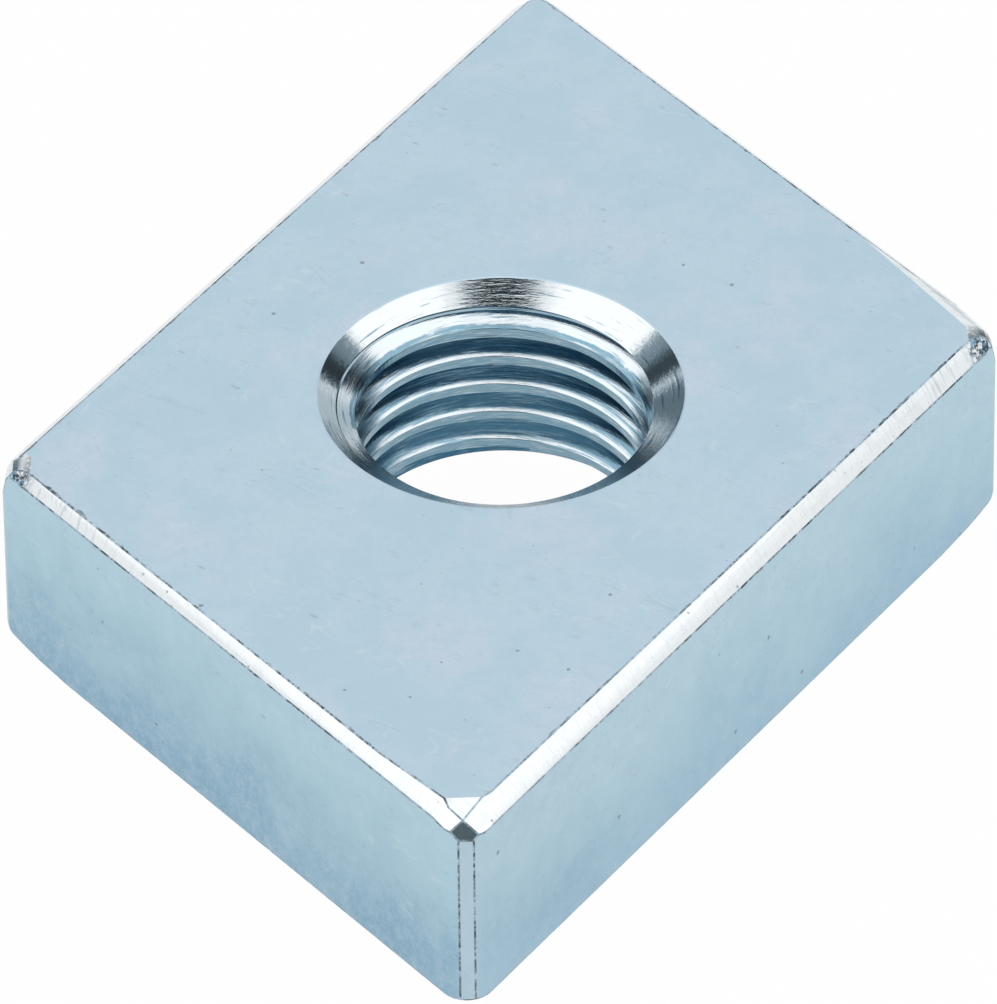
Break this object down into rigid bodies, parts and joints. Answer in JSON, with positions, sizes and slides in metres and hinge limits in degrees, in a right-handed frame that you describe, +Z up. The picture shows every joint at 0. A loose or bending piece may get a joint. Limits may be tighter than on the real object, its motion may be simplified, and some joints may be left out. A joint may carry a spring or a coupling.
{
  "type": "t slot nut",
  "caption": "Flat parallelogram slot nut of zinc-plated steel with a threaded hole countersunk on both faces, slid into a T-slot as an anchor for a bolt.",
  "frame": {"origin": "on the thread axis, at the underside that the nut rests on", "axes": "+Z up along the thread axis, +X along the two long sides; the sharper corners point to -X -Y and +X +Y"},
  "size_m": [0.0484, 0.0302, 0.0098],
  "materials": {
    "zinc_plated_steel": "bright zinc plating with a pale blue passivation, satin on the flat faces and glossy on the cut chamfers"
  },
  "bodies": {
    "root": {"nut": "zinc_plated_steel"}
  },
  "joints": []
}
